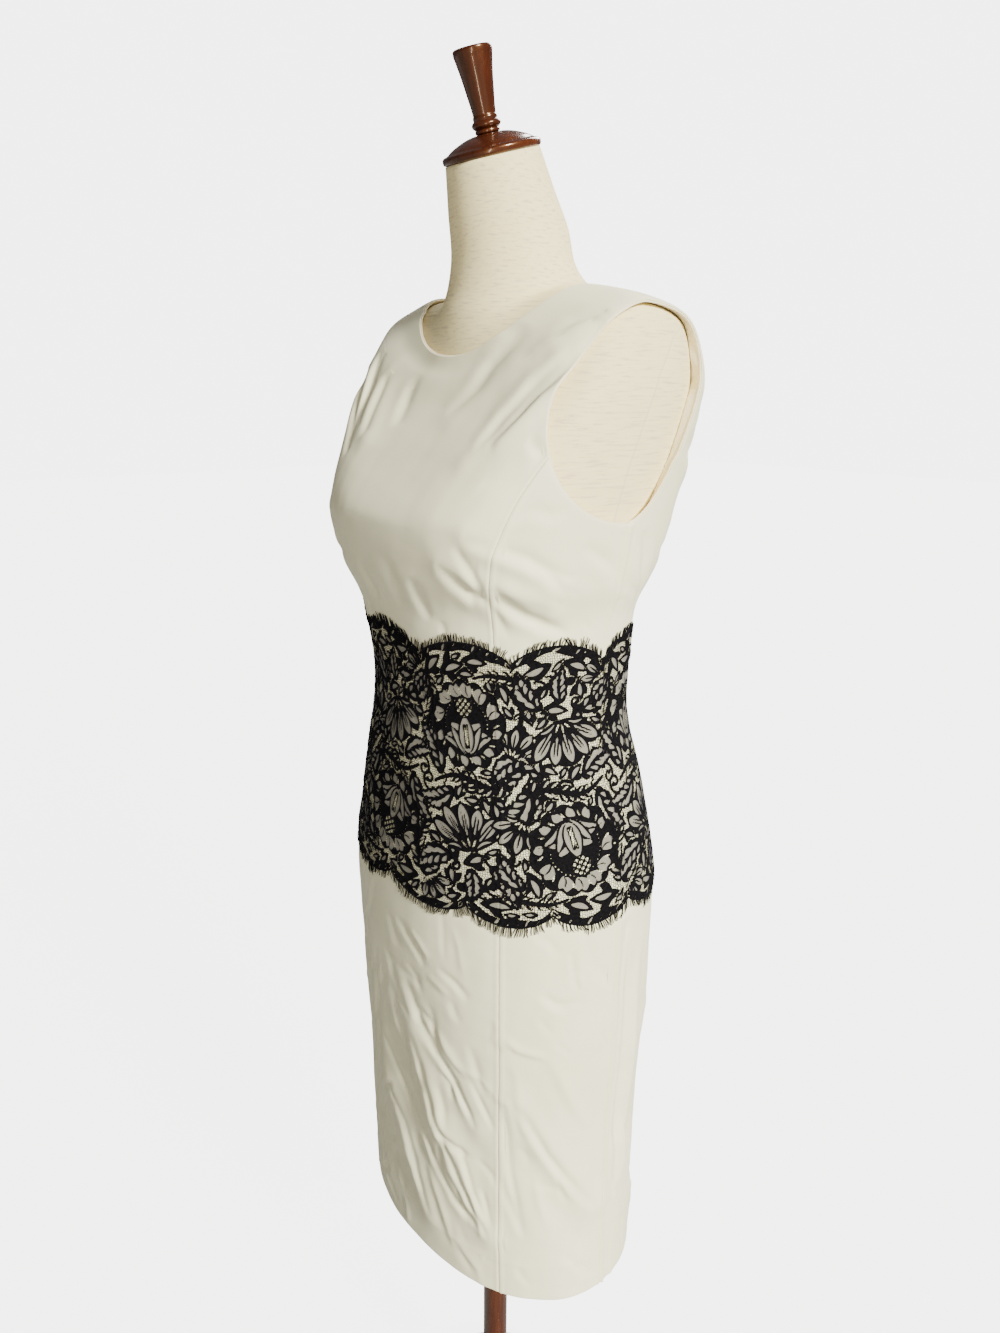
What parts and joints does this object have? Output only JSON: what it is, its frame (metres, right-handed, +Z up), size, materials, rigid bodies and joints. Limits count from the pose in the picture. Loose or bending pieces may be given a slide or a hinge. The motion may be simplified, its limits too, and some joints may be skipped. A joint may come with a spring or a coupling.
{
  "type": "sheath dress on a dress form",
  "caption": "Sleeveless knee-length sheath dress with a scalloped lace band over waist and hip, worn by a linen dress form with a turned wooden cap on a round stand.",
  "frame": {"origin": "on the floor, under the middle of the pole and the round base", "axes": "+Z up; the dress faces -Y; the wearer's left side is +X"},
  "size_m": [0.3485, 0.29, 1.5743],
  "materials": {
    "ivory_cloth": "matte ivory cloth with a fine weave",
    "cream_lining": "smooth cream lining",
    "black_lace": "corded black lace",
    "linen": "natural linen with slubs",
    "red_brown_wood": "glossy red-brown varnish",
    "zip_metal": "satin, painted pale"
  },
  "bodies": {
    "dress_on_form": {"front_centre": "ivory_cloth", "side_front_left": "ivory_cloth", "side_front_right": "ivory_cloth", "back_left": "ivory_cloth", "back_right": "ivory_cloth", "neck_facing": "cream_lining", "armhole_facing_left": "cream_lining", "armhole_facing_right": "cream_lining", "lace_band": "black_lace", "lace_fringe_top": "black_lace", "lace_fringe_bottom": "black_lace", "form_torso": "linen", "neck_cap": "red_brown_wood", "finial": "red_brown_wood", "stand_pole": "red_brown_wood", "stand_base": "red_brown_wood", "zip_slider": "zip_metal"},
    "pull_tab": {"zip_pull_tab": "zip_metal"}
  },
  "joints": [
    {"name": "pull_tab_hinge", "type": "hinge", "parent": "dress_on_form", "child": "pull_tab", "pos_m": [0, 0.08978, 1.37562], "axis": [1, 0, 0], "range_deg": [0, 140]}
  ]
}
